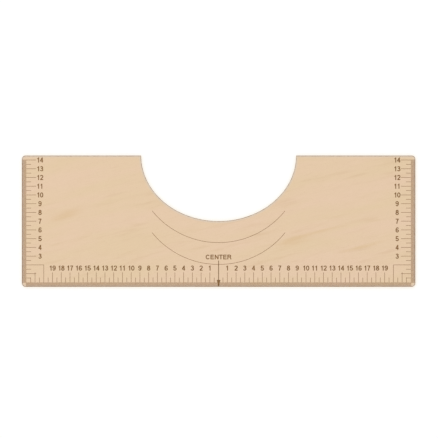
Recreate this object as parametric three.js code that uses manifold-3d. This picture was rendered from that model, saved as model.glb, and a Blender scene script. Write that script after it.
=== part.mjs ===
// T-shirt ruler: a flat plywood template with a half-oval neck cut-out. It is laid on a shirt with the
// cut-out round the collar, so that a design lines up with the centre line and the centimetre scales.
// The board lies on its back. Millimetres, +Z out of the engraved face, +Y towards the neck cut-out,
// origin at the centre of the underside.

import * as THREE from 'three';
import { mergeGeometries, mergeVertices } from 'three/addons/utils/BufferGeometryUtils.js';
import Module from 'manifold-3d';

// Outline of the board
const boardLength = 450;
const boardWidth = 150;
const cornerRadius = 4;

// Neck cut-out: half an ellipse, centred on the top edge
const neckWidth = 177.5;
const neckDepth = 75;

// Layers of the plywood, from the underside up
const backVeneerThickness = 0.6;
const lowerGlueThickness = 0.1;
const coreThickness = 1.6;
const upperGlueThickness = 0.1;
const faceVeneerThickness = 0.6;

// Engraved lines: the beam leaves a groove of V section
const lineWidth = 0.42;
const lineDepth = 0.25;

// Scales: one along the lower edge, counted both ways from the centre, and one up each side.
// All three stop short of the corners by the same margin.
const scaleMargin = 5;
const millimetre = 1;
const millimetresPerMark = 10;
const shortMarkLength = 5;
const halfMarkLength = 10.5;
const longMarkLength = 16.4;

// The second mark from each lower corner runs on until the two scales meet in a square
const cornerSquareMark = 2;

// Guide arcs under the neck: two equal arcs, one below the other
const guideArcRadius = 97.7;
const guideArcSpan = 152;
const firstGuideArcDrop = 24.5;
const guideArcSpacing = 25;

// Centre line with the arrow that points at the lower edge
const centreLineWidth = 0.85;
const centreLineHeight = 30;
const arrowLength = 7.8;
const arrowWidth = 4.3;

// How far a cutting shape runs past the surface that it opens
const overrun = 0.1;

// Straight steps that stand for each curve
const cornerSteps = 6;
const neckSteps = 96;
const guideArcTurnSteps = 200;

const halfLength = boardLength / 2;
const halfWidth = boardWidth / 2;

const wasm = await Module();
wasm.setup();

// Turns a closed geometry into a solid that can be joined and cut
function toSolid(geometry) {
  const bare = geometry.clone();
  bare.deleteAttribute('normal');
  bare.deleteAttribute('uv');
  const merged = mergeVertices(bare, 1e-5);
  return new wasm.Manifold(new wasm.Mesh({
    numProp: 3,
    vertProperties: new Float32Array(merged.attributes.position.array),
    triVerts: new Uint32Array(merged.index.array),
  }));
}

function toGeometry(solid) {
  const mesh = solid.getMesh();
  const geometry = new THREE.BufferGeometry();
  geometry.setAttribute('position', new THREE.BufferAttribute(mesh.vertProperties, 3));
  geometry.setIndex(new THREE.BufferAttribute(mesh.triVerts, 1));
  geometry.computeVertexNormals();
  return geometry;
}

// Adds a curve to an outline in a stated number of straight steps
function follow(outline, curve, steps) {
  for (const point of curve.getPoints(steps)) {
    outline.lineTo(point.x, point.y);
  }
}

function cornerArc(sideways, upwards, startAngle) {
  const x = sideways * (halfLength - cornerRadius);
  const y = upwards * (halfWidth - cornerRadius);
  return new THREE.EllipseCurve(x, y, cornerRadius, cornerRadius, startAngle, startAngle + Math.PI / 2);
}

// The outline that every layer shares, because the board is cut out in one go
function boardOutline() {
  const outline = new THREE.Shape();
  const neck = new THREE.EllipseCurve(0, halfWidth, neckWidth / 2, neckDepth, 0, Math.PI, true);
  outline.moveTo(-neckWidth / 2, halfWidth);
  follow(outline, cornerArc(-1, 1, Math.PI / 2), cornerSteps);
  follow(outline, cornerArc(-1, -1, Math.PI), cornerSteps);
  follow(outline, cornerArc(1, -1, 1.5 * Math.PI), cornerSteps);
  follow(outline, cornerArc(1, 1, 0), cornerSteps);
  follow(outline, neck, neckSteps);
  return outline;
}

function layerGeometry(thickness) {
  return new THREE.ExtrudeGeometry(boardOutline(), { depth: thickness, bevelEnabled: false });
}

// V section of an engraved line: its point lies lineDepth below zero and its mouth is lineWidth wide at zero
function grooveSection(centre = 0) {
  const mouth = lineWidth / 2 * (1 + overrun / lineDepth);
  const section = new THREE.Shape();
  section.moveTo(centre, -lineDepth);
  section.lineTo(centre + mouth, overrun);
  section.lineTo(centre - mouth, overrun);
  section.closePath();
  return section;
}

// One scale mark: a groove across +Y that starts past the edge at y = 0
function markGeometry(place, length) {
  const groove = new THREE.ExtrudeGeometry(grooveSection(), { depth: length + overrun, bevelEnabled: false });
  groove.rotateX(Math.PI / 2);
  groove.translate(place, length, 0);
  return groove;
}

// Length of the mark that lies a number of millimetres along a scale and another number from its lower corner
function markLength(count, fromCorner) {
  if (fromCorner === 0) return shortMarkLength;
  if (fromCorner === cornerSquareMark * millimetresPerMark) {
    return scaleMargin + fromCorner * millimetre + lineWidth / 2;
  }
  if (count % millimetresPerMark === 0) return longMarkLength;
  if (count % (millimetresPerMark / 2) === 0) return halfMarkLength;
  return shortMarkLength;
}

function millimetresThatFit(length) {
  const marks = Math.floor(length / (millimetresPerMark * millimetre));
  return marks * millimetresPerMark;
}

// Lower scale: counts both ways from the centre line, which takes the place of its zero
function lowerScale() {
  const last = millimetresThatFit(halfLength - scaleMargin);
  const marks = [];
  for (let count = 1; count <= last; count += 1) {
    const length = markLength(count, last - count);
    marks.push(markGeometry(count * millimetre, length));
    marks.push(markGeometry(-count * millimetre, length));
  }
  return mergeGeometries(marks).translate(0, -halfWidth, 0);
}

// Side scale: counts upwards from the margin above the lower edge. Side is -1 on the left and 1 on the right.
function sideScale(side) {
  const last = millimetresThatFit(boardWidth - 2 * scaleMargin);
  const marks = [];
  for (let count = 0; count <= last; count += 1) {
    const height = scaleMargin + count * millimetre - halfWidth;
    marks.push(markGeometry(side * height, markLength(count, count)));
  }
  return mergeGeometries(marks).rotateZ(side * Math.PI / 2).translate(side * halfLength, 0, 0);
}

// Guide arc whose lowest point lies at the stated height: a turned ring of V section, trimmed to its span
function guideArc(lowestY) {
  const section = grooveSection(guideArcRadius).getPoints();
  const ring = new THREE.LatheGeometry([...section, section[0]], guideArcTurnSteps);
  ring.rotateX(Math.PI / 2).translate(0, lowestY + guideArcRadius, 0);
  const trim = new THREE.BoxGeometry(guideArcSpan, guideArcRadius, lineDepth * 4);
  trim.translate(0, lowestY + guideArcRadius / 2 - lineWidth, 0);
  return toSolid(ring).intersect(toSolid(trim));
}

// Centre line and arrow: one flat-bottomed recess, whose arrow runs out at the lower edge
function centreLine() {
  const stem = centreLineWidth / 2;
  const head = arrowWidth / 2;
  const headTop = -halfWidth + arrowLength;
  const tip = stem / 2;
  const outline = new THREE.Shape();
  outline.moveTo(-tip, -halfWidth - overrun);
  outline.lineTo(tip, -halfWidth - overrun);
  outline.lineTo(head, headTop);
  outline.lineTo(stem, headTop);
  outline.lineTo(stem, -halfWidth + centreLineHeight);
  outline.lineTo(-stem, -halfWidth + centreLineHeight);
  outline.lineTo(-stem, headTop);
  outline.lineTo(-head, headTop);
  outline.closePath();
  const recess = new THREE.ExtrudeGeometry(outline, { depth: lineDepth + overrun, bevelEnabled: false });
  return recess.translate(0, 0, -lineDepth);
}

// Every engraved line, with the face of the board at z = 0
function engraving() {
  const firstArcY = halfWidth - neckDepth - firstGuideArcDrop;
  const scales = [lowerScale(), sideScale(-1), sideScale(1)];
  const solids = [...scales, centreLine()].map(toSolid);
  solids.push(guideArc(firstArcY));
  solids.push(guideArc(firstArcY - guideArcSpacing));
  return solids.reduce((joined, solid) => joined.add(solid));
}

function faceVeneerGeometry() {
  const veneer = toSolid(layerGeometry(faceVeneerThickness));
  return toGeometry(veneer.subtract(engraving().translate(0, 0, faceVeneerThickness)));
}

function wood(color) {
  return new THREE.MeshStandardMaterial({ color, roughness: 0.7, metalness: 0 });
}

function glue() {
  return new THREE.MeshStandardMaterial({ color: 0x7a5a38, roughness: 0.5, metalness: 0 });
}

// Stacks the layers from the underside up, each one resting on the last
function stack(layers) {
  const board = new THREE.Group();
  board.name = 't_shirt_ruler';
  let height = 0;
  for (const { name, thickness, geometry, material } of layers) {
    const layer = new THREE.Mesh(geometry ?? layerGeometry(thickness), material);
    layer.name = name;
    layer.position.z = height;
    board.add(layer);
    height += thickness;
  }
  return board;
}

const board = stack([
  { name: 'back_veneer', thickness: backVeneerThickness, material: wood(0xdcc099) },
  { name: 'lower_glue_line', thickness: lowerGlueThickness, material: glue() },
  { name: 'core_veneer', thickness: coreThickness, material: wood(0xd2b48a) },
  { name: 'upper_glue_line', thickness: upperGlueThickness, material: glue() },
  {
    name: 'face_veneer',
    thickness: faceVeneerThickness,
    geometry: faceVeneerGeometry(),
    material: wood(0xe4c9a9),
  },
]);

export default board;
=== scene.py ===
import math

import bmesh
import bpy
from mathutils import Matrix, Vector
from mathutils.geometry import delaunay_2d_cdt


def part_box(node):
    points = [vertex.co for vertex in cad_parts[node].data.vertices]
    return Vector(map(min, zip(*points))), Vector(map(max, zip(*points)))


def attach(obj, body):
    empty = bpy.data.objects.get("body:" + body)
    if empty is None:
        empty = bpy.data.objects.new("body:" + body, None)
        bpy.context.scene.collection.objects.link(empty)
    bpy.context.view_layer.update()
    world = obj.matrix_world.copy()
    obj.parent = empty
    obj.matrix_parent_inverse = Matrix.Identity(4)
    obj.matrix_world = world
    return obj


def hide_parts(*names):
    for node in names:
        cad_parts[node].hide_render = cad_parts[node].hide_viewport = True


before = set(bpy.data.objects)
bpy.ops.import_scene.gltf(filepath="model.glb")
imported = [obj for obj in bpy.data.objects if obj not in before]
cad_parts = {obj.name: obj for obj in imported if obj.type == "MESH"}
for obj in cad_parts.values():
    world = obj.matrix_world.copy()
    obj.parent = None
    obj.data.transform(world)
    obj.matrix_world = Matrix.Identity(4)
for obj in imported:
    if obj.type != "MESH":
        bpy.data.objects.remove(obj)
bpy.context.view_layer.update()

# Lengths are in metres
MM = 0.001

# Reach of the board from the centre of its underside, from the face veneer in model.glb
HALF_LENGTH, HALF_WIDTH, FACE_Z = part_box("face_veneer")[1]
LOWER_EDGE_Y = -HALF_WIDTH

# Cut-out, corners and engraving, which the parts' boxes in model.glb don't give
NECK_HALF_WIDTH = 88.75 * MM
NECK_DEPTH = 75 * MM
CORNER_RADIUS = 4 * MM
ENGRAVING_DEPTH = 0.25 * MM

# Just past the reach of the centre line and its arrow, to tell their flat recess from those of the figures
ARROW_HALF_WIDTH = 2.2 * MM
CENTRE_LINE_TOP = LOWER_EDGE_Y + 30.1 * MM

# Figures beside the scales and the word over the centre line. Each base is measured from the lower edge and
# the inset from the board's ends, and the side figures count from the scale's margin.
FIGURE_HEIGHT = 5.8 * MM
LOWER_FIGURES = range(1, 20)
LOWER_FIGURES_BASE = 18.45 * MM
SIDE_FIGURES = range(3, 15)
SIDE_FIGURES_INSET = 20.7 * MM
SCALE_MARGIN = 5 * MM
CENTIMETRE = 10 * MM
WORD = "CENTER"
WORD_HEIGHT = 5.3 * MM
WORD_BASE = 31.35 * MM

# How far the solid that cuts the lettering runs past the face
OVERRUN = 0.1 * MM

# The lower edge of the board is eased, as sanding leaves it
EDGE_EASING = 0.15 * MM
EASING_STEPS = 2
ROUND_PROFILE = 0.5

# Camera: square above the board, as far as a long lens needs. Lens and sensor are in millimetres.
PHOTO_FRAME_WIDTH = 501.1 * MM
PHOTO_CENTRE = (0.46 * MM, 2.5 * MM)
LENS = 600
SENSOR = 36

# Grain: its slant in degrees, where in the noise it lies, how far it waves to either side, and the streaks
# that show on the face, each with its middle, its length and its width
FACE_GRAIN_ANGLE = -13
FACE_GRAIN_SHIFT = (0.31, 0.17, 0)
BACK_GRAIN_ANGLE = -4
BACK_GRAIN_SHIFT = (1.7, 0.6, 0)
GRAIN_WAVE = 4 * MM
FACE_STREAKS = (
    (-177 * MM, 7 * MM, 56 * MM, 16 * MM),
    (88 * MM, -21 * MM, 58 * MM, 18 * MM),
    (118 * MM, -12 * MM, 70 * MM, 7 * MM),
    (166 * MM, -29 * MM, 70 * MM, 6 * MM),
)

# What the laser leaves along its cut: how far the haze of ash reaches in, between which depths the ragged
# border of the dark lip lies, and how much narrower the lip is in the cut-out. The lip is scorch, and also
# painted shade along the board's edge.
HAZE_START = 0.4 * MM
HAZE_END = 2.8 * MM
LIP_LEAST = 0.45 * MM
LIP_MOST = 0.78 * MM
LIP_NARROWING = 0.2 * MM

# Relief of the surfaces, and how much of it shows
VENEER_RELIEF = 0.03 * MM
EDGE_RELIEF = 0.05 * MM
BURNT_RELIEF = 0.03 * MM
RELIEF_STRENGTH = 0.6

# Light: a dome that brightens towards one side, between two cosines to it, and a key lamp on that side.
# Light level is how many times as bright as its own colour a flat surface is seen.
BRIGHT_SIDE = (-0.6, 0.6, 0.53)
DOME_SPREAD = (-0.9, 0.3)
DOME_DIM = 0.7
DOME_BRIGHT = 1.02
KEY_PLACE = (-1.2, 1.2, 2.4)
KEY_SIZE = 1.6
KEY_POWER = 10
LIGHT_LEVEL = 1.06

# Floor: back-lit, just clear of the underside
FLOOR_SIZE = 40
FLOOR_GAP = 0.01 * MM
FLOOR_GLOW = 0.8304
FLOOR_ROUGHNESS = 0.9
FLOOR_GLOSS = 0.1

# Colours, as they are seen, from 0 to 255. Burnt wood and cut edges vary between two.
FACE_YELLOWISH = (227, 201, 166)
FACE_PINKISH = (230, 201, 172)
FACE_DARK = (214, 183, 147)
STREAK_COLOUR = (221, 191, 152)
PORE_COLOUR = (196, 162, 124)
# The lip's colour is scorch, and also painted shade along the board's edge
LIP_COLOUR = (143, 95, 47)
ASH_COLOUR = (213, 201, 186)
BURNT_FIGURE = ((147, 108, 64), (125, 88, 46))
BURNT_CENTRE = ((146, 111, 72), (126, 93, 55))
BURNT_LINE = ((150, 97, 44), (123, 73, 25))
VENEER_EDGE = ((132, 94, 60), (80, 54, 34))
CORE_EDGE = ((108, 76, 48), (60, 41, 27))
GLUE_EDGE = ((58, 40, 27), (34, 24, 17))
# The floor's colour is bluish under a warm glow, so that its shade next to the board is warm: a painted
# reflection of the wood
FLOOR_COLOUR = (124, 154, 193)

# Colours of the floor's glow and of the dome, as linear values
FLOOR_GLOW_COLOUR = (1.0, 0.8535, 0.6, 1.0)
DOME_COLOUR = (1, 1, 1, 1)


def linear(colour):
    """A shader's linear values, by the sRGB curve, for a colour as it is seen in the studio's light."""
    parts = []
    for part in colour:
        seen = part / 255
        value = seen / 12.92 if seen <= 0.04045 else ((seen + 0.055) / 1.055) ** 2.4
        parts.append(value / LIGHT_LEVEL)
    return (*parts, 1.0)


# Glyphs: each is a list of strokes in units of the glyph's height, centred on x = 0 with its foot at y = 0

STROKE = 0.18
LETTER_STROKE = 0.195
INSET = STROKE / 2
BASE = INSET
TOP = 1 - INSET
FIGURE_PITCH = 0.64
LETTER_PITCH = {"C": 0.99, "E": 0.915, "N": 0.99, "T": 0.84, "R": 0.99}

# A stroke's ends meet where they are nearer than the first of these, and points of crossing strokes are
# joined where they are nearer than the second
ENDS_MEET = 1e-6
POINTS_JOIN = 1e-4

# Least cosine of half a bend, so that the mitre at a sharp bend stays short
MITRE_LIMIT = 0.5

# What the triangulation gives: triangles over the whole hull
WHOLE_HULL = 0


def arc(x, y, across, up, start, end, steps=14):
    """Points along part of an ellipse, between two angles in degrees."""
    points = []
    for step in range(steps + 1):
        angle = math.radians(start + (end - start) * step / steps)
        points.append((x + across * math.cos(angle), y + up * math.sin(angle)))
    return points


def ring(x, y, across, up, steps=24):
    """Points round a whole ellipse, the last on the first."""
    return arc(x, y, across, up, 0, 360, steps)


def turned(strokes):
    """The same strokes turned upside down."""
    return [[(-x, 1 - y) for x, y in stroke] for stroke in strokes]


SIX = [
    ring(0.01, 0.305, 0.235, 0.305 - INSET),
    arc(0.035, 0.5, 0.26, 0.5 - INSET, 38, 205, 16),
]

GLYPHS = {
    "0": [ring(0, 0.5, 0.24, 0.5 - INSET)],
    "1": [[(0.04, 0), (0.04, 1)], [(0.05, 0.9), (-0.05, 0.79), (-0.2, 0.7)]],
    "2": [arc(0, 0.69, 0.235, TOP - 0.69, 172, -32) + [(-0.2, BASE + 0.03)], [(-0.29, BASE), (0.3, BASE)]],
    "3": [
        arc(-0.01, 0.735, 0.2, TOP - 0.735, 165, -90),
        arc(-0.01, 0.305, 0.245, 0.305 - BASE, 90, -165),
        [(-0.1, 0.53), (0.0, 0.53)],
    ],
    "4": [[(0.12, 0), (0.12, 1)], [(0.1, 0.93), (-0.24, 0.34)], [(-0.3, 0.3), (0.3, 0.3)]],
    "5": [
        [(0.25, TOP), (-0.165, TOP)],
        [(-0.15, 1), (-0.225, 0.45)],
        arc(-0.005, 0.32, 0.255, 0.32 - BASE, 140, -165),
    ],
    "6": SIX,
    "7": [[(-0.29, TOP), (0.28, TOP)], [(0.235, TOP + 0.02), (0.03, 0.55), (-0.08, 0)]],
    "8": [
        ring(0, 0.745, 0.2, TOP - 0.745),
        ring(0, 0.3, 0.245, 0.3 - BASE),
    ],
    "9": turned(SIX),
    "C": [arc(0, 0.5, 0.365, 0.5 - INSET, 38, 322, 26)],
    "E": [
        [(-0.28, 0), (-0.28, 1)],
        [(-0.3, TOP), (0.36, TOP)],
        [(-0.3, 0.52), (0.32, 0.52)],
        [(-0.3, BASE), (0.38, BASE)],
    ],
    "N": [[(-0.31, 0), (-0.31, 1)], [(0.31, 0), (0.31, 1)], [(-0.31, 0.97), (0.31, 0.03)]],
    "T": [[(-0.39, TOP), (0.39, TOP)], [(0, 0), (0, 0.98)]],
    "R": [
        [(-0.33, 0), (-0.33, 1)],
        [(-0.35, TOP), (0.08, TOP)],
        arc(0.08, 0.725, 0.215, TOP - 0.725, 90, -90),
        [(-0.35, 0.53), (0.08, 0.53)],
        [(0.1, 0.5), (0.22, 0.32), (0.38, 0)],
    ],
}


def stroke_quads(points, width):
    """The quads of a stroke: a strip of even width along its points, with mitred bends."""
    centre = [Vector(point) for point in points]
    is_ring = (centre[0] - centre[-1]).length < ENDS_MEET
    if is_ring:
        centre.pop()
    following = centre[1:] + (centre[:1] if is_ring else [])
    runs = [(after - here).normalized() for here, after in zip(centre, following)]
    sides = []
    for i, here in enumerate(centre):
        leaving = runs[min(i, len(runs) - 1)]
        arriving = runs[i - 1] if i or is_ring else leaving
        along = (arriving + leaving).normalized()
        reach = width / 2 / max(MITRE_LIMIT, along.dot(leaving))
        across = Vector((-along.y, along.x)) * reach
        sides.append((here + across, here - across))
    next_sides = sides[1:] + (sides[:1] if is_ring else [])
    return [
        (right, next_right, next_left, left)
        for (left, right), (next_left, next_right) in zip(sides, next_sides)
    ]


def glyph_shape(name):
    """A glyph's strokes joined into one flat shape: its points and its triangles."""
    width = LETTER_STROKE if name.isalpha() else STROKE
    points = []
    faces = []
    for stroke in GLYPHS[name]:
        for quad in stroke_quads(stroke, width):
            faces.append(list(range(len(points), len(points) + 4)))
            points.extend(quad)
    joined, _, triangles, _, _, sources = delaunay_2d_cdt(points, [], faces, WHOLE_HULL, POINTS_JOIN)
    return joined, [triangle for triangle, source in zip(triangles, sources) if source]


SHAPES = {name: glyph_shape(name) for name in GLYPHS}


def add_prism(solid, shape, x, y, height):
    """Adds a glyph to a bmesh as an upright solid, from the engraving's floor to just over the face."""
    points, triangles = shape
    used = sorted({i for triangle in triangles for i in triangle})

    def corners_at(z):
        return {i: solid.verts.new((x + points[i].x * height, y + points[i].y * height, z)) for i in used}

    low = corners_at(FACE_Z - ENGRAVING_DEPTH)
    high = corners_at(FACE_Z + OVERRUN)
    sides = {(a, b) for t in triangles for a, b in zip(t, (*t[1:], t[0]))}
    for triangle in triangles:
        solid.faces.new([high[i] for i in triangle])
        solid.faces.new([low[i] for i in reversed(triangle)])
    for a, b in sides:
        if (b, a) not in sides:
            solid.faces.new((low[a], low[b], high[b], high[a]))


def write_line(solid, text, x, y, height):
    """Adds a line of glyphs, centred on x, with its foot at y."""
    pitches = [LETTER_PITCH.get(character, FIGURE_PITCH) for character in text]
    left = x - sum(pitches) * height / 2
    for character, pitch in zip(text, pitches):
        add_prism(solid, SHAPES[character], left + pitch * height / 2, y, height)
        left += pitch * height


def lettering():
    """Every figure and letter as one cutting solid."""
    solid = bmesh.new()
    lower_foot = LOWER_EDGE_Y + LOWER_FIGURES_BASE
    for figure in LOWER_FIGURES:
        for side in (-1, 1):
            write_line(solid, str(figure), side * figure * CENTIMETRE, lower_foot, FIGURE_HEIGHT)
    for figure in SIDE_FIGURES:
        foot = LOWER_EDGE_Y + SCALE_MARGIN + figure * CENTIMETRE - FIGURE_HEIGHT / 2
        for side in (-1, 1):
            write_line(solid, str(figure), side * (HALF_LENGTH - SIDE_FIGURES_INSET), foot, FIGURE_HEIGHT)
    write_line(solid, WORD, 0, LOWER_EDGE_Y + WORD_BASE, WORD_HEIGHT)
    mesh = bpy.data.meshes.new("lettering")
    solid.to_mesh(mesh)
    solid.free()
    return mesh


# Kinds of face: a face of the engraved veneer has one of five materials, and a face of the plain one has
# one of the first two

FLAT_SLOT, EDGE_SLOT, FIGURE_SLOT, CENTRE_SLOT, LINE_SLOT = range(5)

# How far up a face's normal points: more than the first of these on a level face, less than the second on a
# wall, and between the last two on the side of an engraved line
LEVEL = 0.99
UPRIGHT = 0.01
SLANTED_LEAST = 0.05
SLANTED_MOST = 0.95

# How far inside the contour the middle of a cut wall may lie, and how far below the top the plain surface
CONTOUR_TOLERANCE = 0.05 * MM
HEIGHT_TOLERANCE = 0.001 * MM

# Keeps a division possible at the centre of the cut-out's oval
LEAST_STEEPNESS = 1e-9


def inside_contour(point):
    """How far a point lies inside the board's contour, across the surface."""
    box_x = abs(point.x) - (HALF_LENGTH - CORNER_RADIUS)
    box_y = abs(point.y) - (HALF_WIDTH - CORNER_RADIUS)
    outside = math.hypot(max(box_x, 0), max(box_y, 0)) + min(max(box_x, box_y), 0)
    across = point.x / NECK_HALF_WIDTH
    up = (point.y - HALF_WIDTH) / NECK_DEPTH
    reach = math.hypot(across, up)
    steepness = math.hypot(across / NECK_HALF_WIDTH, up / NECK_DEPTH)
    from_neck = (reach - 1) * reach / max(steepness, LEAST_STEEPNESS)
    return min(CORNER_RADIUS - outside, from_neck)


def kind_of_engraved(face):
    """Which of the engraved veneer's materials a face has, from how it faces and where it lies."""
    centre = face.calc_center_median()
    upwards = face.normal.z
    if upwards < -LEVEL or (upwards > LEVEL and centre.z > FACE_Z - HEIGHT_TOLERANCE):
        return FLAT_SLOT
    if abs(upwards) < UPRIGHT and inside_contour(centre) < CONTOUR_TOLERANCE:
        return EDGE_SLOT
    if SLANTED_LEAST < upwards < SLANTED_MOST:
        return LINE_SLOT
    if abs(centre.x) < ARROW_HALF_WIDTH and centre.y < CENTRE_LINE_TOP:
        return CENTRE_SLOT
    return FIGURE_SLOT


def kind_of_plain(face):
    """Which of the plain veneer's materials a face has."""
    return FLAT_SLOT if abs(face.normal.z) > LEVEL else EDGE_SLOT


# Layout of a veneer's surfaces on a flat map, so that a baked picture keeps its lines crisp. The side that
# is seen, what is engraved in it and the hidden side each lie there in plan, on an area with its left side,
# its low side, its width and its height. The cut edge lies in rows, whose last number is the height of one.

MAP_NAME = "OFBake"
SEEN_PLAN = (0.01, 0.31, 0.98, 0.68)
ENGRAVED_PLAN = (0.01, 0.13, 0.98, 0.17)
HIDDEN_PLAN = (0.01, 0.01, 0.25, 0.1)
EDGE_ROWS = (0.28, 0.01, 0.71, 0.021)
RIGHT_ROW, LEFT_ROW, UPPER_ROW, LOWER_ROW, NECK_ROW = range(5)
ROW_USED = 0.75

# How far up the normal of an engraved wall may point, and how many times its height the wall folds out
WALL_LIMIT = 0.1
WALL_FOLD = 2


def plan_place(area, x, y):
    """Place on the map of a point that lies there in plan."""
    left, low, width, height = area
    across = (x + HALF_LENGTH) / (2 * HALF_LENGTH)
    up = (y + HALF_WIDTH) / (2 * HALF_WIDTH)
    return left + across * width, low + up * height


def edge_place(face, centre, point, up):
    """Place of a point of the cut edge, in the row of the side that the edge faces, or of the cut-out."""
    if abs(centre.x) < NECK_HALF_WIDTH and face.normal.y > 0:
        row = NECK_ROW
        along = math.atan2(HALF_WIDTH - point.y, point.x) / math.pi
    elif abs(face.normal.x) > abs(face.normal.y):
        row = RIGHT_ROW if face.normal.x > 0 else LEFT_ROW
        along = (point.y + HALF_WIDTH) / (2 * HALF_WIDTH)
    else:
        row = UPPER_ROW if face.normal.y > 0 else LOWER_ROW
        along = (point.x + HALF_LENGTH) / (2 * HALF_LENGTH)
    left, low, width, row_height = EDGE_ROWS
    return left + along * width, low + (row + up * ROW_USED) * row_height


def engraved_place(face, point):
    """Place of a point of the engraving, whose upright walls fold outwards round its floor."""
    is_wall = abs(face.normal.z) < WALL_LIMIT
    fold = WALL_FOLD * (point.z - FACE_Z + ENGRAVING_DEPTH) if is_wall else 0
    return plan_place(ENGRAVED_PLAN, point.x - face.normal.x * fold, point.y - face.normal.y * fold)


def lay_out(shape, seen_side):
    """Gives a veneer its map. The seen side is 1 where that is the upper side, and -1 where the lower."""
    places = shape.loops.layers.uv.new(MAP_NAME)
    heights = [vertex.co.z for vertex in shape.verts]
    low, high = min(heights), max(heights)
    for face in shape.faces:
        centre = face.calc_center_median()
        flat_plan = SEEN_PLAN if face.normal.z * seen_side > 0 else HIDDEN_PLAN
        for corner in face.loops:
            point = corner.vert.co
            if face.material_index == EDGE_SLOT:
                corner[places].uv = edge_place(face, centre, point, (point.z - low) / (high - low))
            elif face.material_index == FLAT_SLOT:
                corner[places].uv = plan_place(flat_plan, point.x, point.y)
            else:
                corner[places].uv = engraved_place(face, point)


# Outer veneers: their CAD shapes, the upper with the lettering cut in and the lower with an eased edge

# Corners nearer than this are one corner, and faces that meet at less than this angle are one face
WELD_DISTANCE = 1e-7
FLAT_ANGLE = math.radians(0.1)


def welded_copy(node):
    """The shape of a CAD node, with its corners joined."""
    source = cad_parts[node].data
    corners = [vertex.co for vertex in source.vertices]
    faces = [face.vertices for face in source.polygons]
    bare = bpy.data.meshes.new(node)
    bare.from_pydata(corners, [], faces)
    shape = bmesh.new()
    shape.from_mesh(bare)
    bpy.data.meshes.remove(bare)
    bmesh.ops.remove_doubles(shape, verts=shape.verts, dist=WELD_DISTANCE)
    shape.normal_update()
    return shape


def add_piece(name, shape):
    """Makes a shape an object of the scene."""
    mesh = bpy.data.meshes.new(name)
    shape.to_mesh(mesh)
    shape.free()
    piece = bpy.data.objects.new(name, mesh)
    bpy.context.scene.collection.objects.link(piece)
    return piece


def finish_piece(piece, materials, kind_of, seen_side):
    """Gives a veneer its materials, face by face, and its map."""
    mesh = piece.data
    mesh.materials.clear()
    for material in materials:
        mesh.materials.append(material)
    shape = bmesh.new()
    shape.from_mesh(mesh)
    for face in shape.faces:
        face.material_index = kind_of(face)
        face.smooth = False
    lay_out(shape, seen_side)
    shape.to_mesh(mesh)
    shape.free()
    # Normals held at each corner keep a baked picture from running over an edge to the next surface
    mesh.normals_split_custom_set([face.normal for face in mesh.polygons for _ in face.vertices])
    return piece


def engraved_face(materials):
    """The upper ply, with its figures and its word cut in."""
    piece = add_piece("engraved_face", welded_copy("face_veneer"))
    cutter = bpy.data.objects.new("lettering", lettering())
    bpy.context.scene.collection.objects.link(cutter)
    cut = piece.modifiers.new("lettering", "BOOLEAN")
    cut.operation = "DIFFERENCE"
    cut.solver = "MANIFOLD"
    cut.object = cutter
    shaped = bpy.data.meshes.new_from_object(piece.evaluated_get(bpy.context.evaluated_depsgraph_get()))
    piece.modifiers.clear()
    piece.data = shaped
    bpy.data.objects.remove(cutter)
    return finish_piece(piece, materials, kind_of_engraved, 1)


def plain_back(materials):
    """The lower ply, in whole faces, with its lower edge eased all round."""
    shape = welded_copy("back_veneer")
    bmesh.ops.dissolve_limit(shape, angle_limit=FLAT_ANGLE, verts=shape.verts, edges=shape.edges)
    lower_edges = [edge for edge in shape.edges if any(face.normal.z < -LEVEL for face in edge.link_faces)]
    bmesh.ops.bevel(
        shape,
        geom=lower_edges,
        offset=EDGE_EASING,
        offset_type="OFFSET",
        segments=EASING_STEPS,
        profile=ROUND_PROFILE,
        affect="EDGES",
        clamp_overlap=True,
    )
    return finish_piece(add_piece("plain_back", shape), materials, kind_of_plain, -1)


# Material nodes. The Mix node has sockets of every type under the same names, so its colours go by number.

MIX_FACTOR = 0
MIX_FIRST = 6
MIX_SECOND = 7
MIX_RESULT = 2

# Almost all of a noise lies between these values
NOISE_RANGE = (0.3, 0.7)


def new_material(name):
    """A material, its node tree and its shader."""
    material = bpy.data.materials.new(name)
    material.use_nodes = True
    tree = material.node_tree
    tree.nodes.clear()
    shader = tree.nodes.new("ShaderNodeBsdfPrincipled")
    output = tree.nodes.new("ShaderNodeOutputMaterial")
    tree.links.new(shader.outputs["BSDF"], output.inputs["Surface"])
    return material, tree, shader


def feed(tree, socket, value):
    """Sets a socket to a value, or links it to another socket."""
    if isinstance(value, bpy.types.NodeSocket):
        tree.links.new(value, socket)
    else:
        socket.default_value = value


def maths(tree, operation, *values):
    """The result of an operation on numbers."""
    node = tree.nodes.new("ShaderNodeMath")
    node.operation = operation
    for socket, value in zip(node.inputs, values):
        feed(tree, socket, value)
    return node.outputs[0]


def vector_maths(tree, operation, *values):
    """The result of an operation on vectors, which is a vector or a number."""
    node = tree.nodes.new("ShaderNodeVectorMath")
    node.operation = operation
    for socket, value in zip(node.inputs, values):
        feed(tree, socket, value)
    return node.outputs["Value" if operation in ("LENGTH", "DOT_PRODUCT") else "Vector"]


def mix_colours(tree, factor, first, second):
    """The first colour, turning into the second as the factor goes from 0 to 1."""
    node = tree.nodes.new("ShaderNodeMix")
    node.data_type = "RGBA"
    feed(tree, node.inputs[MIX_FACTOR], factor)
    feed(tree, node.inputs[MIX_FIRST], linear(first) if isinstance(first, tuple) else first)
    feed(tree, node.inputs[MIX_SECOND], linear(second) if isinstance(second, tuple) else second)
    return node.outputs[MIX_RESULT]


def remap(tree, value, low, high, to_low=0.0, to_high=1.0, smooth=False):
    """A value between low and high, turned into one between to_low and to_high and held outside them."""
    node = tree.nodes.new("ShaderNodeMapRange")
    node.interpolation_type = "SMOOTHSTEP" if smooth else "LINEAR"
    for name, number in (("From Min", low), ("From Max", high), ("To Min", to_low), ("To Max", to_high)):
        node.inputs[name].default_value = number
    feed(tree, node.inputs["Value"], value)
    return node.outputs["Result"]


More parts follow.
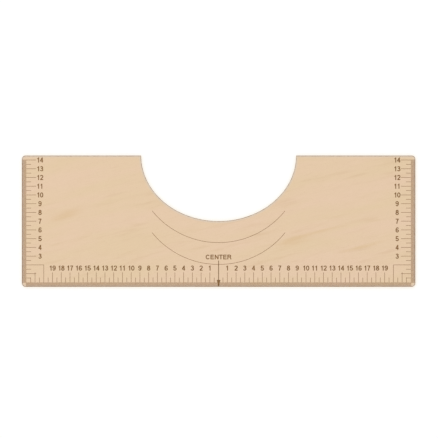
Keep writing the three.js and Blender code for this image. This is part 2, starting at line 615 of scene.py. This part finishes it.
def own_coordinates(tree):
    """The piece's own coordinates, in metres."""
    return tree.nodes.new("ShaderNodeTexCoord").outputs["Object"]


def stretched_noise(tree, coordinates, cells, detail, roughness=0.5):
    """Noise with the stated number of cells to a metre along each axis."""
    scaled = vector_maths(tree, "MULTIPLY", coordinates, cells)
    noise = tree.nodes.new("ShaderNodeTexNoise")
    noise.inputs["Scale"].default_value = 1.0
    noise.inputs["Detail"].default_value = detail
    noise.inputs["Roughness"].default_value = roughness
    tree.links.new(scaled, noise.inputs["Vector"])
    return noise.outputs["Fac"]


class Surface:
    """What a material is fed with: its colour, its roughness and the height of its relief."""

    def __init__(self, colour, roughness, relief):
        self.colour = colour
        self.roughness = roughness
        self.relief = relief


def dress(tree, shader, surface, gloss, relief_depth):
    """Feeds a surface to a material's shader."""
    shader.inputs["Specular IOR Level"].default_value = gloss
    tree.links.new(surface.colour, shader.inputs["Base Color"])
    tree.links.new(surface.roughness, shader.inputs["Roughness"])
    bump = tree.nodes.new("ShaderNodeBump")
    bump.inputs["Strength"].default_value = RELIEF_STRENGTH
    bump.inputs["Distance"].default_value = relief_depth
    tree.links.new(surface.relief, bump.inputs["Height"])
    tree.links.new(bump.outputs["Normal"], shader.inputs["Normal"])


# Sanded veneer. Cells are a noise's cells to a metre along the grain, across it and down. A spread is the
# two values of a noise or a distance between which a mark grows, and its strength at each of them.

WAVE_CELLS = (9, 3, 1)
TONE_CELLS = (8, 45, 1)
FIGURE_CELLS = (22, 190, 1)
FIGURE_PATCH_CELLS = (10, 30, 1)
FIBRE_CELLS = (60, 2200, 1)
PORE_CELLS = (420, 5200, 1)
TONE_SPREAD = (0.36, 0.64, 0.0, 1.0)
FIGURE_SPREAD = (0.5, 0.74, 0.0, 1.0)
FIGURE_PATCH_SPREAD = (0.45, 0.62, 0.1, 0.45)
STREAK_SPREAD = (0.1, 1.0, 1.0, 0.0)
STREAK_BREAK_SPREAD = (0.35, 0.6, 0.25, 1.0)
FIBRE_SPREAD = (0.45, 0.78, 0.0, 0.35)
PORE_SPREAD = (0.64, 0.74, 0.0, 0.5)
PORE_DEPTH = 0.6
VENEER_ROUGHNESS = (0.55, 0.72)
VENEER_GLOSS = 0.35


def grain_coordinates(tree, angle, shift):
    """The piece's own coordinates, turned so that X runs along the grain."""
    turn = tree.nodes.new("ShaderNodeMapping")
    turn.vector_type = "POINT"
    turn.inputs["Location"].default_value = shift
    turn.inputs["Rotation"].default_value = (0, 0, math.radians(angle))
    tree.links.new(own_coordinates(tree), turn.inputs["Vector"])
    return turn.outputs["Vector"]


def wavy(tree, grain):
    """The grain's coordinates with a slow wave across them, as the fibres run in a real veneer."""
    wave = stretched_noise(tree, grain, WAVE_CELLS, detail=1)
    sideways = remap(tree, wave, 0.0, 1.0, -GRAIN_WAVE, GRAIN_WAVE)
    offset = tree.nodes.new("ShaderNodeCombineXYZ")
    tree.links.new(sideways, offset.inputs["Y"])
    return vector_maths(tree, "ADD", grain, offset.outputs["Vector"])


def placed_streak(tree, grain, angle, shift, streak):
    """How strongly a long soft streak covers a point: 1 in its middle and 0 outside it."""
    x, y, length, width = streak
    centre = Matrix.Rotation(math.radians(angle), 3, "Z") @ Vector((x, y, 0)) + Vector(shift)
    away = vector_maths(tree, "SUBTRACT", grain, tuple(centre))
    scaled = vector_maths(tree, "DIVIDE", away, (length / 2, width / 2, 1))
    reach = vector_maths(tree, "LENGTH", vector_maths(tree, "MULTIPLY", scaled, (1, 1, 0)))
    return remap(tree, reach, *STREAK_SPREAD, smooth=True)


def veneer_surface(tree, angle, shift, streaks):
    """Pale sanded veneer: soft changes of tone, faint slanted figure, fine fibres, and short pores."""
    grain = wavy(tree, grain_coordinates(tree, angle, shift))
    tone = stretched_noise(tree, grain, TONE_CELLS, detail=3)
    figure = stretched_noise(tree, grain, FIGURE_CELLS, detail=3)
    patch = stretched_noise(tree, grain, FIGURE_PATCH_CELLS, detail=1)
    fibre = stretched_noise(tree, grain, FIBRE_CELLS, detail=3, roughness=0.6)
    pore = stretched_noise(tree, grain, PORE_CELLS, detail=1)

    colour = mix_colours(tree, remap(tree, tone, *TONE_SPREAD), FACE_YELLOWISH, FACE_PINKISH)
    lines = remap(tree, figure, *FIGURE_SPREAD, smooth=True)
    patches = remap(tree, patch, *FIGURE_PATCH_SPREAD, smooth=True)
    colour = mix_colours(tree, maths(tree, "MULTIPLY", lines, patches), colour, FACE_DARK)
    breaks = remap(tree, figure, *STREAK_BREAK_SPREAD)
    for streak in streaks:
        cover = placed_streak(tree, grain, angle, shift, streak)
        colour = mix_colours(tree, maths(tree, "MULTIPLY", cover, breaks), colour, STREAK_COLOUR)
    colour = mix_colours(tree, remap(tree, fibre, *FIBRE_SPREAD), colour, FACE_DARK)
    pores = remap(tree, pore, *PORE_SPREAD, smooth=True)
    colour = mix_colours(tree, pores, colour, PORE_COLOUR)
    roughness = remap(tree, fibre, *NOISE_RANGE, *VENEER_ROUGHNESS)
    relief = maths(tree, "SUBTRACT", fibre, maths(tree, "MULTIPLY", pores, PORE_DEPTH))
    return Surface(colour, roughness, relief)


# Soot along the contour: a dark lip, scorched and also painted shade along the board's edge, and a haze of
# pale ash that fades inwards

SOOT_CELLS = (300, 300, 1)
HAZE_STRENGTH = 0.95
HAZE_UNEVENNESS = (0.8, 1.0)
LIP_STRENGTH = 0.9


def contour_distances(tree):
    """How far a point lies inside the board's rounded rectangle, and how far outside its cut-out."""
    flat = vector_maths(tree, "MULTIPLY", own_coordinates(tree), (1, 1, 0))
    folded = vector_maths(tree, "ABSOLUTE", flat)
    corner = (HALF_LENGTH - CORNER_RADIUS, HALF_WIDTH - CORNER_RADIUS, 0)
    beyond = vector_maths(tree, "SUBTRACT", folded, corner)
    parts = tree.nodes.new("ShaderNodeSeparateXYZ")
    tree.links.new(beyond, parts.inputs["Vector"])
    larger = maths(tree, "MINIMUM", maths(tree, "MAXIMUM", parts.outputs["X"], parts.outputs["Y"]), 0.0)
    reach = vector_maths(tree, "LENGTH", vector_maths(tree, "MAXIMUM", beyond, (0, 0, 0)))
    from_box = maths(tree, "SUBTRACT", CORNER_RADIUS, maths(tree, "ADD", reach, larger))

    half_axes = (NECK_HALF_WIDTH, NECK_DEPTH, 1)
    from_centre = vector_maths(tree, "SUBTRACT", flat, (0, HALF_WIDTH, 0))
    scaled = vector_maths(tree, "DIVIDE", from_centre, half_axes)
    radius = vector_maths(tree, "LENGTH", scaled)
    steepness = vector_maths(tree, "LENGTH", vector_maths(tree, "DIVIDE", scaled, half_axes))
    beyond_oval = maths(tree, "MULTIPLY", maths(tree, "SUBTRACT", radius, 1.0), radius)
    from_neck = maths(tree, "DIVIDE", beyond_oval, steepness)
    return from_box, from_neck


def add_soot(tree, colour):
    """A colour with what the laser leaves beside its cut laid over it, and painted shade in its dark lip at
    the edge.
    """
    uneven = stretched_noise(tree, own_coordinates(tree), SOOT_CELLS, detail=2)
    from_box, from_neck = contour_distances(tree)
    inwards = maths(tree, "MINIMUM", from_box, from_neck)
    haze = remap(tree, inwards, HAZE_START, HAZE_END, HAZE_STRENGTH, 0.0)
    haze = maths(tree, "MULTIPLY", haze, remap(tree, uneven, *NOISE_RANGE, *HAZE_UNEVENNESS))
    colour = mix_colours(tree, haze, colour, ASH_COLOUR)
    # The dark lip is scorch, and also painted shade along the board's edge
    lip_depth = maths(tree, "MINIMUM", from_box, maths(tree, "ADD", from_neck, LIP_NARROWING))
    lip_width = remap(tree, uneven, *NOISE_RANGE, LIP_LEAST, LIP_MOST)
    lip = maths(tree, "LESS_THAN", lip_depth, lip_width)
    return mix_colours(tree, maths(tree, "MULTIPLY", lip, LIP_STRENGTH), colour, LIP_COLOUR)


def veneer_material(name, angle, shift, streaks):
    """Sanded veneer with the soot of the cut along its contour, whose dark lip is also painted shade."""
    material, tree, shader = new_material(name)
    surface = veneer_surface(tree, angle, shift, streaks)
    surface.colour = add_soot(tree, surface.colour)
    dress(tree, shader, surface, VENEER_GLOSS, VENEER_RELIEF)
    return material


# Laser-cut edge: scorched, with upright streaks, and darker where the fibres end in it. They run lengthwise
# in the outer veneers and crosswise in the core. Glue has none, so its axis is one that no cut edge faces.

LENGTHWISE = (1, 0, 0)
CROSSWISE = (0, 1, 0)
UPWARDS = (0, 0, 1)
EDGE_STREAK_CELLS = (2600, 2600, 120)
EDGE_PATCH_CELLS = (90, 90, 300)
EDGE_STREAK_SPREAD = (*NOISE_RANGE, 0.0, 0.5)
EDGE_PATCH_SPREAD = (0.35, 0.65, 0.0, 0.3)
END_GRAIN_STRENGTH = 0.25
EDGE_ROUGHNESS = (0.6, 0.85)
EDGE_GLOSS = 0.25


def edge_material(name, colours, fibre_axis):
    """The cut edge of one layer, between two colours."""
    material, tree, shader = new_material(name)
    place = own_coordinates(tree)
    normal = tree.nodes.new("ShaderNodeNewGeometry").outputs["Normal"]
    end_grain = maths(tree, "ABSOLUTE", vector_maths(tree, "DOT_PRODUCT", normal, fibre_axis))
    streak = stretched_noise(tree, place, EDGE_STREAK_CELLS, detail=2, roughness=0.6)
    patch = stretched_noise(tree, place, EDGE_PATCH_CELLS, detail=2)
    streaks = remap(tree, streak, *EDGE_STREAK_SPREAD)
    patches = remap(tree, patch, *EDGE_PATCH_SPREAD)
    ends = maths(tree, "MULTIPLY", end_grain, END_GRAIN_STRENGTH)
    darkness = maths(tree, "ADD", maths(tree, "ADD", streaks, patches), ends)
    roughness = remap(tree, streak, *NOISE_RANGE, *EDGE_ROUGHNESS)
    surface = Surface(mix_colours(tree, darkness, *colours), roughness, streak)
    dress(tree, shader, surface, EDGE_GLOSS, EDGE_RELIEF)
    return material


# Wood burnt by the laser: brown, with darker patches and the fine lines of the beam's passes

BURNT_PATCH_CELLS = (260, 260, 260)
PASS_CELLS = (600, 9000, 600)
BURNT_PATCH_SPREAD = (0.35, 0.7, 0.0, 1.0)
PASS_SPREAD = (0.4, 0.7, 0.0, 0.35)
BURNT_ROUGHNESS = (0.75, 0.92)
BURNT_GLOSS = 0.2


def burnt_material(name, colours):
    """The burnt wood of one kind of recess, between two colours."""
    material, tree, shader = new_material(name)
    place = own_coordinates(tree)
    patch = stretched_noise(tree, place, BURNT_PATCH_CELLS, detail=3, roughness=0.6)
    passes = stretched_noise(tree, place, PASS_CELLS, detail=1)
    colour = mix_colours(tree, remap(tree, patch, *BURNT_PATCH_SPREAD), *colours)
    colour = mix_colours(tree, remap(tree, passes, *PASS_SPREAD), colour, colours[1])
    roughness = remap(tree, patch, *NOISE_RANGE, *BURNT_ROUGHNESS)
    dress(tree, shader, Surface(colour, roughness, passes), BURNT_GLOSS, BURNT_RELIEF)
    return material


# Camera, floor and light


def make_camera():
    """A camera square above the board, with the photo's frame."""
    data = bpy.data.cameras.new("camera")
    data.lens = LENS
    data.sensor_width = SENSOR
    camera = bpy.data.objects.new("camera", data)
    distance = PHOTO_FRAME_WIDTH / SENSOR * LENS
    camera.location = (*PHOTO_CENTRE, FACE_Z + distance)
    camera.rotation_euler = (0, 0, 0)
    bpy.context.scene.collection.objects.link(camera)
    bpy.context.scene.camera = camera


def make_floor():
    """A plain back-lit floor that is seen white, whose shade next to the board is tinted warm as a painted
    reflection of the wood.
    """
    bpy.ops.mesh.primitive_plane_add(size=FLOOR_SIZE, location=(0, 0, -FLOOR_GAP))
    floor = bpy.context.object
    floor.name = "floor"
    material, _, shader = new_material("floor")
    shader.inputs["Base Color"].default_value = linear(FLOOR_COLOUR)
    shader.inputs["Roughness"].default_value = FLOOR_ROUGHNESS
    shader.inputs["Specular IOR Level"].default_value = FLOOR_GLOSS
    shader.inputs["Emission Color"].default_value = FLOOR_GLOW_COLOUR
    shader.inputs["Emission Strength"].default_value = FLOOR_GLOW
    floor.data.materials.append(material)


def make_world():
    """A pale dome all round, brightest towards the upper left of the picture."""
    world = bpy.data.worlds.new("studio")
    world.use_nodes = True
    tree = world.node_tree
    background = tree.nodes["Background"]
    direction = tree.nodes.new("ShaderNodeTexCoord").outputs["Generated"]
    facing = vector_maths(tree, "DOT_PRODUCT", direction, BRIGHT_SIDE)
    brightness = remap(tree, facing, *DOME_SPREAD, DOME_DIM, DOME_BRIGHT)
    tree.links.new(brightness, background.inputs["Strength"])
    background.inputs["Color"].default_value = DOME_COLOUR
    bpy.context.scene.world = world


def make_key_lamp():
    """A broad lamp on the dome's bright side, aimed at the board."""
    data = bpy.data.lights.new("key", "AREA")
    data.shape = "DISK"
    data.size = KEY_SIZE
    data.energy = KEY_POWER
    lamp = bpy.data.objects.new("key", data)
    lamp.location = KEY_PLACE
    lamp.rotation_euler = (-Vector(KEY_PLACE)).to_track_quat("-Z", "Y").to_euler()
    bpy.context.scene.collection.objects.link(lamp)


scene = bpy.context.scene
scene.view_settings.view_transform = "Standard"
scene.view_settings.look = "None"
make_camera()
make_floor()
make_world()
make_key_lamp()

# Dressing the board: the outer veneers get pieces of their own, and the layers between keep their shape

burnt_figure = burnt_material("burnt_figure", BURNT_FIGURE)
burnt_centre = burnt_material("burnt_centre", BURNT_CENTRE)
burnt_line = burnt_material("burnt_line", BURNT_LINE)
veneer_edge = edge_material("veneer_edge", VENEER_EDGE, LENGTHWISE)
core_edge = edge_material("core_edge", CORE_EDGE, CROSSWISE)
glue_edge = edge_material("glue_edge", GLUE_EDGE, UPWARDS)
face_wood = veneer_material("face_wood", FACE_GRAIN_ANGLE, FACE_GRAIN_SHIFT, FACE_STREAKS)
back_wood = veneer_material("back_wood", BACK_GRAIN_ANGLE, BACK_GRAIN_SHIFT, ())

face = engraved_face((face_wood, veneer_edge, burnt_figure, burnt_centre, burnt_line))
back = plain_back((back_wood, veneer_edge))
for piece, veneer in ((face, "face_veneer"), (back, "back_veneer")):
    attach(piece, "root")
    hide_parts(veneer)

for node, material in (
    ("lower_glue_line", glue_edge),
    ("core_veneer", core_edge),
    ("upper_glue_line", glue_edge),
):
    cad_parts[node].material_slots[0].material = material
